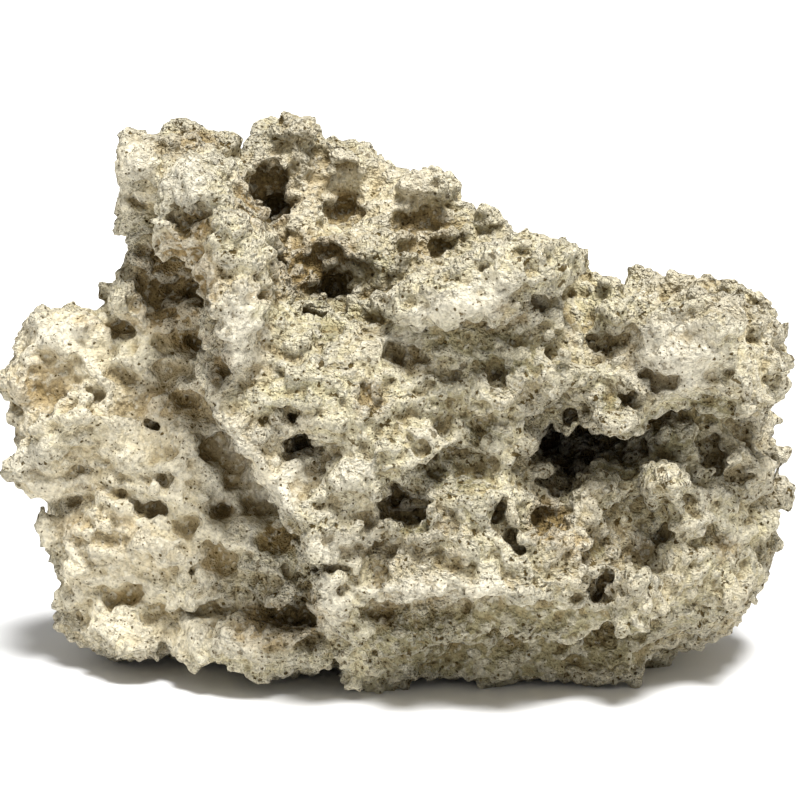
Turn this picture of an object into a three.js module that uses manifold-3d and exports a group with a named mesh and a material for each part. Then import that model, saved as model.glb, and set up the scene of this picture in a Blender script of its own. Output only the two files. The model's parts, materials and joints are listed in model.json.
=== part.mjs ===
// Aquarium base rock: one free-standing piece of porous, cream-coloured reef limestone.
// Millimetres, +Z up. +X runs along the rock's length and -Y is its best side.
// The origin is on the ground, under the middle of the rock.

import * as THREE from 'three';
import { MarchingCubes } from 'three/addons/objects/MarchingCubes.js';
import { ImprovedNoise } from 'three/addons/math/ImprovedNoise.js';
import { mergeVertices } from 'three/addons/utils/BufferGeometryUtils.js';
import Module from 'manifold-3d';

const squareness = 2.5; // 2 makes every lump an ellipsoid, more makes it boxier
const lumpBlend = 10; // how far from their meeting line two lumps run together
const hollowBlend = 4; // rounding of a hollow's rim
const swellLength = 27; // spacing of the gentle swells over the whole rock
const swellHeight = 4;
const gridCount = 44; // cells along each side of the cube that the skin is found in
const gridHalf = 140; // half of the cube's side
const gridCentre = new THREE.Vector3(0, 0, 80);
const leastDepth = 0.8; // how far every cell corner is kept from the skin, so that no facet is a sliver
const maxTriangles = 20000;
const mergeDistance = 0.001;
const groundSize = 400;

// Each lump and hollow is an ellipsoid: its centre, its radii,
// and its turn about Y in degrees, clockwise as seen from the front.
const lumps = [
  // the middle of the rock
  ['core', [0, 2, 62], [78, 44, 56], 0],
  ['core right', [61, 6, 48], [54, 44, 44], 0],
  ['core left', [-66, 16, 52], [46, 38, 48], 0],
  ['upper face', [-27, -34, 96], [37, 26, 24], 15],
  ['lower face', [0, -38, 64], [38, 28, 28], 40],
  ['lower face edge', [-13, -40, 45], [24, 24, 17], 20],
  ['belly', [30, -42, 56], [32, 25, 27], 0],
  // the overhanging ledge along the front, and the feet under it
  ['front ledge', [30, -46, 33], [44, 24, 14], 0],
  ['under block', [-12, -30, 17], [25, 20, 15], 0],
  ['foot tongue', [-46, -25, 14], [21, 24, 15], 8],
  ['right foot', [45, -12, 6], [36, 28, 11], 0],
  ['middle foot', [2, -14, 6], [30, 24, 11], 0],
  // the arm that reaches out to the right
  ['arm', [83, -32, 104], [33, 24, 19], 2],
  ['arm root', [43, -34, 98], [27, 26, 20], 0],
  ['arm nose', [105, -18, 99], [16, 22, 16], 0],
  ['arm nub', [65, -40, 87], [10, 12, 9], 0],
  ['arm back', [80, 0, 108], [33, 28, 16], 0],
  ['arm web', [92, 14, 82], [26, 24, 26], 0],
  ['block', [37, -28, 122], [22, 20, 13], -24],
  ['block tail', [10, -36, 112], [16, 15, 9], -30],
  // the horn at the top left
  ['horn knob', [-60, -30, 150], [14, 15, 14], 0],
  ['horn left', [-77, 0, 155], [11, 16, 15], 0],
  ['horn top', [-62, -8, 159], [15, 17, 9], 0],
  ['horn neck', [-53, -30, 130], [13, 17, 24], -30],
  ['horn web', [-54, -8, 130], [13, 16, 22], 0],
  ['horn stem', [-76, 4, 132], [9, 15, 16], 0],
  ['horn wall', [-62, 14, 128], [22, 20, 28], 0],
  ['left shoulder', [-81, 4, 111], [13, 18, 12], 0],
  // the ridge along the back
  ['back peak', [-37, 26, 156], [13, 18, 17], 0],
  ['second peak', [-15, 24, 147], [15, 18, 15], 0],
  ['third peak', [6, 20, 141], [17, 18, 14], 15],
  ['fourth peak', [25, 12, 131], [14, 16, 13], 20],
  ['back body', [-21, 24, 116], [46, 32, 30], 0],
  ['saddle', [-8, -8, 122], [28, 22, 14], 10],
  // the lobe on the left
  ['upper lobe', [-98, 6, 88], [25, 26, 20], 0],
  ['lobe corner', [-111, 4, 102], [10, 15, 10], 0],
  ['lobe ridge', [-96, 0, 66], [28, 24, 10], -4],
  ['lower lobe', [-83, 4, 34], [27, 30, 26], 0],
  ['lobe base', [-79, -2, 15], [25, 26, 14], 0],
  ['left waist', [-56, -12, 52], [24, 22, 34], 0],
  // the rounded end on the right
  ['right body', [84, 0, 43], [34, 34, 35], 0],
  ['right front', [73, -26, 37], [25, 24, 22], 0],
  ['right knob', [106, 16, 60], [14, 22, 24], 0],
  // the back, which slopes in towards the top
  ['back shelf', [-8, 40, 88], [38, 24, 12], -8],
  ['back buttress', [34, 44, 52], [22, 26, 34], 12],
  ['back knee', [-52, 44, 44], [26, 24, 22], 0],
  ['back heel', [62, 36, 17], [28, 26, 20], 0],
];

const hollows = [
  ['cave', [53, -54, 73], [15, 36, 11], 0],
  ['cave end', [72, -40, 70], [15, 30, 9], 0],
  ['right end hollow', [116, -14, 78], [10, 22, 8], 0],
  ['horn hollow', [-69, -38, 118], [10, 24, 12], 0],
  ['crater', [-24, -38, 124], [9, 18, 8], 0],
  ['back cavern', [-8, 72, 58], [17, 30, 15], 0],
  ['back niche', [78, 60, 66], [13, 24, 10], -10],
  ['back pocket', [-62, 62, 84], [12, 26, 11], 0],
  ['back notch', [-96, 46, 52], [12, 18, 9], 0],
];

const yAxis = new THREE.Vector3(0, 1, 0);
const unitScale = new THREE.Vector3(1, 1, 1);

function makeShape([name, centre, radii, turn]) {
  const rotation = new THREE.Quaternion().setFromAxisAngle(yAxis, THREE.MathUtils.degToRad(turn));
  const placement = new THREE.Matrix4().compose(new THREE.Vector3(...centre), rotation, unitScale);
  return { name, radii, toLocal: placement.invert() };
}

const lumpShapes = lumps.map(makeShape);
const hollowShapes = hollows.map(makeShape);
const noise = new ImprovedNoise();
const local = new THREE.Vector3();

// Distance from a slightly squared ellipsoid, negative inside it.
function shapeDistance(point, shape) {
  local.copy(point).applyMatrix4(shape.toLocal);
  const offsets = local.toArray().map((value, axis) => Math.abs(value) / shape.radii[axis]);
  const powerSum = offsets.reduce((sum, offset) => sum + offset ** squareness, Number.EPSILON);
  const reach = powerSum ** (1 / squareness);
  const slopes = offsets.map((offset, axis) => (offset / reach) ** (squareness - 1) / shape.radii[axis]);
  return (reach - 1) / Math.hypot(...slopes);
}

// The lesser of two distances, rounded off where they are alike.
function smoothMin(a, b, blend) {
  const overlap = Math.max(blend - Math.abs(a - b), 0) / blend;
  return Math.min(a, b) - (overlap * overlap * blend) / 4;
}

function rockDistance(point) {
  let distance = gridHalf;
  for (const shape of lumpShapes) {
    distance = smoothMin(distance, shapeDistance(point, shape), lumpBlend);
  }
  for (const shape of hollowShapes) {
    distance = -smoothMin(-distance, shapeDistance(point, shape), hollowBlend);
  }
  const swell = noise.noise(point.x / swellLength, point.y / swellLength, point.z / swellLength);
  return distance + swell * swellHeight;
}

const axisSteps = [[1, 0, 0], [0, 1, 0], [0, 0, 1]];

function cornerIndex(i, j, k) {
  return i + gridCount * (j + gridCount * k);
}

function forEachCorner(visit) {
  for (let k = 0; k < gridCount - 1; k += 1) {
    for (let j = 0; j < gridCount - 1; j += 1) {
      for (let i = 0; i < gridCount - 1; i += 1) visit(i, j, k);
    }
  }
}

// A cell face whose corners are rock, air, rock, air in turn would pinch the skin.
// Its air corners are filled, until no such face is left.
function fillPinches(depths) {
  let filled = 0;
  forEachCorner((i, j, k) => {
    axisSteps.forEach((u, axis) => {
      const v = axisSteps[(axis + 1) % axisSteps.length];
      const face = [
        cornerIndex(i, j, k),
        cornerIndex(i + u[0], j + u[1], k + u[2]),
        cornerIndex(i + u[0] + v[0], j + u[1] + v[1], k + u[2] + v[2]),
        cornerIndex(i + v[0], j + v[1], k + v[2]),
      ];
      const [first, second, third, fourth] = face.map((corner) => depths[corner] > 0);
      if (first === second || first !== third || second !== fourth) return;
      for (const corner of face) depths[corner] = Math.max(depths[corner], leastDepth);
      filled += 1;
    });
  });
  if (filled) fillPinches(depths);
}

// The rock's skin, from the depth of every cell corner below it.
function makeRockGeometry() {
  const grid = new MarchingCubes(gridCount, new THREE.MeshStandardMaterial(), false, false, maxTriangles);
  grid.isolation = 0;
  grid.field.fill(-gridHalf);
  const point = new THREE.Vector3();
  forEachCorner((i, j, k) => {
    point.set(i, j, k).multiplyScalar(2 / gridCount).subScalar(1);
    point.multiplyScalar(gridHalf).add(gridCentre);
    const depth = -rockDistance(point);
    grid.field[cornerIndex(i, j, k)] = Math.sign(depth) * Math.max(Math.abs(depth), leastDepth);
  });
  fillPinches(grid.field);
  grid.update();
  const geometry = new THREE.BufferGeometry();
  const corners = grid.positionArray.slice(0, grid.count * 3);
  geometry.setAttribute('position', new THREE.BufferAttribute(corners, 3));
  geometry.scale(gridHalf, gridHalf, gridHalf);
  geometry.translate(gridCentre.x, gridCentre.y, gridCentre.z);
  return geometry;
}

const wasm = await Module();
wasm.setup();

function toSolid(geometry) {
  const bare = geometry.clone();
  bare.deleteAttribute('normal');
  bare.deleteAttribute('uv');
  const merged = mergeVertices(bare, mergeDistance);
  return new wasm.Manifold(new wasm.Mesh({
    numProp: 3,
    vertProperties: merged.attributes.position.array,
    triVerts: new Uint32Array(merged.index.array),
  }));
}

function toGeometry(solid) {
  const { vertProperties, triVerts } = solid.getMesh();
  const geometry = new THREE.BufferGeometry();
  geometry.setAttribute('position', new THREE.BufferAttribute(vertProperties, 3));
  geometry.setIndex(new THREE.BufferAttribute(triVerts, 1));
  geometry.computeVertexNormals();
  return geometry;
}

// The feet are worn flat where the rock stands.
const ground = new THREE.BoxGeometry(groundSize, groundSize, groundSize);
ground.translate(0, 0, -groundSize / 2);
const rockGeometry = toGeometry(toSolid(makeRockGeometry()).subtract(toSolid(ground)));

rockGeometry.computeBoundingBox();
const middle = rockGeometry.boundingBox.getCenter(new THREE.Vector3());
rockGeometry.translate(-middle.x, -middle.y, 0);

const limestone = new THREE.MeshStandardMaterial({ color: 0xd2c8b1, roughness: 0.95, metalness: 0 });
const rock = new THREE.Mesh(rockGeometry, limestone);
rock.name = 'rock';

const group = new THREE.Group();
group.name = 'aquarium_base_rock';
group.add(rock);

export default group;
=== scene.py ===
import json
import math
import random
import bpy
import numpy
from mathutils import Matrix, Vector
from mathutils.bvhtree import BVHTree

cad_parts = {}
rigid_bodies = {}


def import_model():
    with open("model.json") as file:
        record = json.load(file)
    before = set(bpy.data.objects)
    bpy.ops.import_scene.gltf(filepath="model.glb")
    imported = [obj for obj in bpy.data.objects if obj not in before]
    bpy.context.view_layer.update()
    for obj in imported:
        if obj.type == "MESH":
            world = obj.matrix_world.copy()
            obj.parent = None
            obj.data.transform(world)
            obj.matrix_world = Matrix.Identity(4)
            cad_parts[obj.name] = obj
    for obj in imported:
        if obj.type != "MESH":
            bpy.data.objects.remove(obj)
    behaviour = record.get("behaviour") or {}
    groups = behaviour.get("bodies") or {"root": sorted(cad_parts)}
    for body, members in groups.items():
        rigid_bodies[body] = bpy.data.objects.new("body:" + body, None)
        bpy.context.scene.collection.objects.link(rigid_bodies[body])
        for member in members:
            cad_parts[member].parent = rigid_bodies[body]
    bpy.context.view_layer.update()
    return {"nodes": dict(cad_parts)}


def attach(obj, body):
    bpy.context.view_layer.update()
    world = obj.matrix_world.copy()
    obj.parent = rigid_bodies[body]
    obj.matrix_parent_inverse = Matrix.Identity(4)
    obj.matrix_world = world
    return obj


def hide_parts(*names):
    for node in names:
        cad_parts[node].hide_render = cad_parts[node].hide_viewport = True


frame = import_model()
mm = 0.001

# where the rock is looked at from; its holes and knobs are set out along the lines of sight from here
viewpoint = {
    "aim": Vector((1.2, 0, 84)) * mm,
    "aimUp": 84.4,
    "distance": 800 * mm,
    "elevation": math.radians(10),
    "lens": 114.6,
}
towards = Vector((0, math.cos(viewpoint["elevation"]), -math.sin(viewpoint["elevation"])))
upwards = Vector((0, math.sin(viewpoint["elevation"]), math.cos(viewpoint["elevation"])))
eye = viewpoint["aim"] - towards * viewpoint["distance"]


def sightThrough(across, up):
    # across and up are in mm on the plane that faces the viewpoint, and the aim is at 0 across and aimUp up
    target = viewpoint["aim"] + Vector((across * mm, 0, 0)) + upwards * (up - viewpoint["aimUp"]) * mm
    return (target - eye).normalized()


def deselect():
    if bpy.context.object and bpy.context.object.mode != "OBJECT":
        bpy.ops.object.mode_set(mode="OBJECT")
    bpy.ops.object.select_all(action="DESELECT")


def choose(obj):
    deselect()
    obj.select_set(True)
    bpy.context.view_layer.objects.active = obj


def applyModifier(obj, kind, **values):
    choose(obj)
    modifier = obj.modifiers.new(kind.lower(), kind)
    for key, value in values.items():
        setattr(modifier, key, value)
    bpy.ops.object.modifier_apply(modifier=modifier.name)


def remesh(obj, voxel):
    applyModifier(obj, "REMESH", mode="VOXEL", voxel_size=voxel * mm, use_smooth_shade=True)


def smooth(obj, passes):
    applyModifier(obj, "SMOOTH", factor=0.5, iterations=passes)


def joinInto(obj, others):
    choose(obj)
    for other in others:
        other.select_set(True)
    bpy.ops.object.join()


def removeObject(obj):
    mesh = obj.data
    bpy.data.objects.remove(obj)
    bpy.data.meshes.remove(mesh)


# small helpers for node trees
class Tree:
    def __init__(self, nodeTree):
        self.tree = nodeTree
        self.nodes = nodeTree.nodes
        self.links = nodeTree.links

    def add(self, kind, inputs=(), **settings):
        node = self.nodes.new(kind)
        for key, value in settings.items():
            setattr(node, key, value)
        self.feed(node, dict(inputs))
        return node

    def feed(self, node, inputs):
        for name, value in inputs.items():
            socket = node.inputs[name]
            if isinstance(value, bpy.types.NodeSocket):
                self.links.new(value, socket)
            else:
                socket.default_value = value

    def maths(self, operation, a, b=0.0, c=0.0):
        return self.add("ShaderNodeMath", {0: a, 1: b, 2: c}, operation=operation).outputs[0]

    def vector(self, operation, a, b=(0, 0, 0), scale=1.0):
        node = self.add("ShaderNodeVectorMath", operation=operation)
        self.feed(node, {0: a, 3: scale} if operation == "SCALE" else {0: a, 1: b})
        return node.outputs[1 if operation == "DOT_PRODUCT" else 0]

    def ramp(self, value, low, high, toLow=0.0, toHigh=1.0, smooth=True):
        node = self.add(
            "ShaderNodeMapRange",
            {"Value": value, "From Min": low, "From Max": high, "To Min": toLow, "To Max": toHigh},
            interpolation_type="SMOOTHSTEP" if smooth else "LINEAR",
        )
        return node.outputs["Result"]

    def noise(self, at, size, detail=2.0, roughness=0.5):
        # size is the spacing of its lumps in mm
        inputs = {"Vector": at, "Scale": 1000.0 / size, "Detail": detail, "Roughness": roughness}
        return self.add("ShaderNodeTexNoise", inputs)

    def voronoi(self, at, size):
        return self.add("ShaderNodeTexVoronoi", {"Vector": at, "Scale": 1000.0 / size})

    def wander(self, at, size, reach):
        # a push in any direction, by up to reach mm
        colour = self.noise(at, size, 1).outputs["Color"]
        return self.vector("SCALE", self.vector("SUBTRACT", colour, (0.5, 0.5, 0.5)), scale=2 * reach * mm)

    def blurred(self, value, passes):
        blur = self.add("GeometryNodeBlurAttribute", {"Iterations": passes}, data_type="FLOAT_VECTOR")
        slot = next(socket for socket in blur.inputs if socket.enabled and socket.name == "Value")
        self.links.new(value, slot)
        return next(socket for socket in blur.outputs if socket.enabled)

    def steady(self, passes):
        # the normal evened out over its neighbours, so that relief on relief grows no thorns
        return self.vector("NORMALIZE", self.blurred(self.add("GeometryNodeInputNormal").outputs[0], passes))

    def store(self, geometry, name, value):
        inputs = {"Geometry": geometry, "Name": name, "Value": value}
        node = self.add("GeometryNodeStoreNamedAttribute", inputs, data_type="FLOAT", domain="POINT")
        return node.outputs[0]

    def domes(self, at, size):
        # rounded crumbs packed together with sharp creases between them, -0.5 up to 0.5
        cell = self.voronoi(at, size).outputs["Distance"]
        return self.ramp(self.maths("POWER", cell, 2.0), 0.0, 0.7, 0.5, -0.5, False)

    def scallops(self, at, size):
        # rounded hollows of uneven depth with sharper ridges between them, about -0.7 up to 0.4
        cell = self.voronoi(at, size)
        dice = self.add("ShaderNodeSeparateXYZ", {0: cell.outputs["Color"]}).outputs[0]
        shape = self.ramp(self.maths("POWER", cell.outputs["Distance"], 1.5), 0.0, 0.55, -1.1, 0.4, False)
        return self.maths("MULTIPLY", shape, self.maths("MULTIPLY_ADD", dice, 0.8, 0.2))

    def billow(self, at, size, detail):
        # rounded crests with sharp creases between them, from about -0.6 up to 0.5
        value = self.maths("SUBTRACT", self.noise(at, size, detail).outputs["Fac"], 0.5)
        return self.ramp(self.maths("ABSOLUTE", value), 0.0, 0.2, -0.6, 0.5, False)

    def pits(self, at, size, share, radius):
        # 1 in the bottom of a pit, 0 outside; a share of the cells holds one
        cell = self.voronoi(at, size)
        dice = self.add("ShaderNodeSeparateXYZ", {0: cell.outputs["Color"]})
        reach = self.maths("MULTIPLY_ADD", dice.outputs[1], radius * 0.6, radius * 0.7)
        depth = self.ramp(self.maths("DIVIDE", cell.outputs["Distance"], reach), 0.5, 1.1, 1, 0)
        return self.maths("MULTIPLY", depth, self.maths("LESS_THAN", dice.outputs[0], share))


def applyGeometryNodes(obj, name, build):
    group = bpy.data.node_groups.new(name, "GeometryNodeTree")
    group.interface.new_socket("Geometry", in_out="INPUT", socket_type="NodeSocketGeometry")
    group.interface.new_socket("Geometry", in_out="OUTPUT", socket_type="NodeSocketGeometry")
    tree = Tree(group)
    start = tree.add("NodeGroupInput").outputs[0]
    tree.add("NodeGroupOutput", {0: build(tree, start)})
    choose(obj)
    modifier = obj.modifiers.new(name, "NODES")
    modifier.node_group = group
    bpy.ops.object.modifier_apply(modifier=modifier.name)


# the body of the rock: the CAD solid, rounded off and then roughened at the scale of a fingertip
rockBody = {
    "firstVoxel": 1.8,
    "smoothPasses": 3,
    "bend": (20, 8),  # spacing and size of each layer of relief, in mm
    "warp": (45, 5.0),
    "lump": (24, 4.5),
    "knuckle": (9, 1.2),
}


def makeBody():
    source = frame["nodes"]["rock"]
    deselect()
    body = source.copy()
    body.data = source.data.copy()
    body.name = "rock_surface"
    body.parent = None
    for key in list(body.keys()):
        del body[key]
    bpy.context.scene.collection.objects.link(body)
    body.data.materials.clear()
    choose(body)
    bpy.ops.object.mode_set(mode="EDIT")
    bpy.ops.mesh.select_all(action="SELECT")
    bpy.ops.mesh.remove_doubles(threshold=0.01 * mm)
    bpy.ops.mesh.normals_make_consistent(inside=False)
    bpy.ops.object.mode_set(mode="OBJECT")
    remesh(body, rockBody["firstVoxel"])
    smooth(body, rockBody["smoothPasses"])

    def build(tree, geometry):
        place = tree.add("GeometryNodeInputPosition").outputs[0]
        drift = tree.wander(place, *rockBody["warp"])
        bent = tree.vector("ADD", place, tree.wander(place, *rockBody["bend"]))
        size, height = rockBody["lump"]
        lump = tree.maths("MULTIPLY", tree.billow(bent, size, 2), height * mm)
        size, height = rockBody["knuckle"]
        knuckle = tree.maths("MULTIPLY", tree.domes(bent, size), height * mm)
        total = tree.maths("ADD", lump, knuckle)
        offset = tree.vector("ADD", drift, tree.vector("SCALE", tree.steady(4), scale=total))
        return tree.add("GeometryNodeSetPosition", {"Geometry": geometry, "Offset": offset}).outputs[0]

    applyGeometryNodes(body, "roughen", build)
    print("body made", len(body.data.polygons))
    return body


# knobs, ridges, hollows and grooves set out one by one, as seen from the viewpoint
# one ball each: across, up, width, height, depth (out or in), turn in degrees
# a chain of balls each: width, depth, then the points it runs through
broadRidges = [
    (22, 15, (0, 113), (14, 115), (28, 121), (40, 127), (50, 127)),
    (21, 20, (-64, 152), (-59, 143), (-52, 134), (-48, 124), (-51, 112), (-52, 100)),
    (15, 8, (-84, 162), (-84, 151)), (17, 12, (-56, 86), (-47, 79), (-38, 66), (-31, 53), (-23, 40)),
    (32, 9, (84, 103), (96, 104)), (20, 9, (66, 112), (72, 112)), (18, 7, (-8, 70), (-14, 84)),
    (24, 8, (-44, 86), (-26, 84), (-10, 80)), (16, 4, (-4, 24), (14, 25)), (16, 3, (62, 26), (80, 24)),
    (18, 30, (60, 56), (68, 60), (76, 66)), (14, 8, (-22, 27), (-23, 14)),
    (16, 7, (-114, 70), (-98, 75), (-82, 70)), (18, 7, (86, 42), (92, 54), (102, 52)),
    (18, 6, (-100, 42), (-84, 43), (-70, 36)), (14, 6, (-16, 129), (-6, 127), (6, 121)),
    (13, 7, (-30, 138), (-25, 152)), (18, 16, (111, 62), (110, 72), (110, 82)), (26, 12, (86, 66), (100, 68)),
    (22, 45, (78, 56), (88, 58)), (14, 6, (-104, 106), (-94, 104)), (16, 7, (-20, 60), (-6, 62), (10, 72)),
    (16, 7, (-92, 12), (-80, 10)), (14, 7, (-52, 8), (-44, 6)), (16, 7, (2, 86), (18, 88), (34, 86)),
    (12, 6, (-79, 100), (-76, 82)),
]
broadHollows = [
    (-71, 121, 24, 28, 18, 12), (-79, 139, 8, 14, 6, 0), (-26, 125, 28, 20, 10, -20), (8, 141, 26, 14, 5, 0),
    (3, 104, 20, 18, 6, 0), (22, 106, 26, 14, 3.5, 12), (38, 110, 22, 12, 3, 20), (55, 106, 12, 24, 5, 0),
    (-22, 124, 46, 40, 7, 0), (92, 77, 56, 18, 10, 0), (22, 62, 40, 16, 8, 0), (-112, 91, 22, 18, 5, 0),
    (-75, 92, 18, 13, 5, 0), (-89, 107, 14, 6, 4, 0), (-65, 103, 14, 7, 6, 0), (-38, 17, 24, 9, 6, 0),
    (-56, 58, 34, 34, 9, 40), (0, 52, 14, 12, 7, 0), (46, 47, 14, 13, 6, 0), (-57, 34, 10, 12, 3, 0),
    (60, 97, 18, 9, 5, 0), (-41, 149, 17, 24, 13, 0), (-17, 144, 10, 11, 5, 0), (-5, 16, 15, 15, 6, 0),
    (52, 74, 24, 20, 12, -20), (96, 62, 20, 8, 6, 20), (-60, 78, 12, 8, 5, 0),
]
broadGrooves = [
    (10, 8, (57, 127), (55, 115), (53, 104)), (7, 3, (-108, 53), (-94, 57), (-84, 53), (-72, 47), (-62, 41)),
    (30, 14, (-4, 11), (16, 10), (36, 10), (56, 10), (77, 12)), (6, 4, (-87, 149), (-82, 145), (-77, 140)),
    (7, 5, (-76, 167), (-75, 156), (-77, 146)), (6, 5, (-73, 163.5), (-62, 164.5), (-53, 163)),
    (9, 7, (-62, 108), (-62, 98)), (9, 7, (-6, 114), (2, 125), (12, 133), (26, 137), (38, 138)),
    (6, 5, (80, 60), (82, 50), (81, 40)), (6, 5, (93, 60), (93, 48), (99, 38)),
    (6, 4, (60, 44), (74, 36), (92, 32)), (6, 5, (-31, 36), (-29, 24), (-29, 12)),
    (8, 3, (-80, 21), (-66, 19), (-50, 20)), (8, 6, (-28, 33), (-18, 32), (-8, 27)),
    (8, 4, (78, 90), (74, 96), (70, 104), (60, 107)), (7, 6, (-101, 98), (-99, 86), (-95, 80)),
    (6, 6, (-24, 163), (-26, 150)), (6, 5, (20, 148), (16, 144)), (7, 6, (39, 141), (37, 132)),
    (6, 5, (-8, 161), (-8, 150)), (7, 6, (-12, 50), (-6, 38), (-8, 28)), (6, 5, (12, 56), (16, 44), (14, 34)),
    (7, 5, (-90, 94), (-84, 88)), (7, 5, (100, 122), (98, 112)), (7, 5, (78, 122), (76, 114)),
    (8, 20, (-98, -1), (-84, -2), (-68, -1), (-58, -4)), (6, 20, (-31, -3), (-18, -4)),
]
knobs = [
    (-77, 58, 4.5, 7, 5, 0), (51, 98.5, 4.5, 5, 3, 0), (68, 78, 14, 9, 7, 0), (85, 73, 18, 13, 12, 0),
    (45, 61, 9, 10, 6, 0), (84, 73, 9, 7, 5, 0), (-66, 89, 9, 6, 6, 30), (-5, 68, 11, 8, 4, 0),
    (-120, 64, 12, 11, 6, 0), (5, 138, 7, 5, 4, 0), (11, 136, 5, 5, 4, 0), (-34, 169, 18, 14, 8, 0),
    (-57, 165, 17, 11, 8, 0), (-112, 110, 9, 8, 4, 0), (-81, 158, 12, 13, 4, 0), (-84, 137, 11, 9, 8, 0),
    (-82, 128, 9, 10, 4, 20), (-63, 112, 9, 9, 4, 0), (40, 62, 13, 9, 4, 0), (101, 24, 14, 12, 4, 0),
    (-17, 158, 13, 11, 6, 0), (5, 152, 16, 11, 6, 0), (28, 143, 13, 10, 8, 0), (12, 151, 12, 10, 7, 0),
    (47, 131, 15, 9, 6, 0), (-98, 108, 11, 7, 4, 0), (-87, 117, 14, 13, 8, 0), (66, 119, 11, 8, 4, 0),
    (88, 120, 12, 9, 4, 0), (110, 116, 12, 9, 4, 0), (-88, 138, 6, 7, 5, 0), (-92, 118, 7, 10, 5, 0),
    (-67, 169.5, 18, 5, 5, 0), (118, 96, 9, 11, 4, 0), (119, 66, 8, 12, 4, 0), (116, 44, 8, 10, 4, 0),
    (-112, 45, 8, 14, 4, 0), (120, 56, 6, 14, 4, 0),
]
ridges = [
    (8, 5, (-60, 90), (-56, 80), (-46, 68), (-37, 56), (-30, 45), (-25, 35)),
    (7, 4, (-76, 152), (-72, 140), (-63, 130), (-58, 119), (-56, 107)),
    (7, 5, (-49, 158), (-48, 148), (-43, 138), (-38, 131)),
    (21, 9, (1, 115), (14, 117), (28, 122), (40, 127), (50, 127)),
    (13, 6, (-2, 104), (12, 102), (26, 105), (38, 109), (48, 110)), (6, 4, (20, 97), (35, 103), (49, 111)),
    (7, 4, (-118, 74), (-108, 79), (-95, 79), (-86, 76)),
    (6, 4, (-4, 26), (14, 24), (28, 25), (45, 23), (56, 20)), (4, 3, (76, 86.5), (88, 87), (101, 89)),
    (9, 4, (-28, 38), (-20, 36), (-13, 34)), (10, 4, (-74, 146), (-70, 137), (-58, 128)),
    (7, 3, (-80, 23.5), (-70, 23), (-55, 22)), (9, 3, (-30, 115), (-16, 114), (-4, 112)),
    (3, 2.4, (46, 97), (45.5, 102), (48, 106), (52, 106)), (8, 4, (-97, 80), (-101, 88), (-100, 96)),
    (6, 3, (-100, 49), (-92, 52), (-84, 48)), (5, 3, (-44, 21), (-36, 23.5), (-29, 25)),
]
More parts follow.
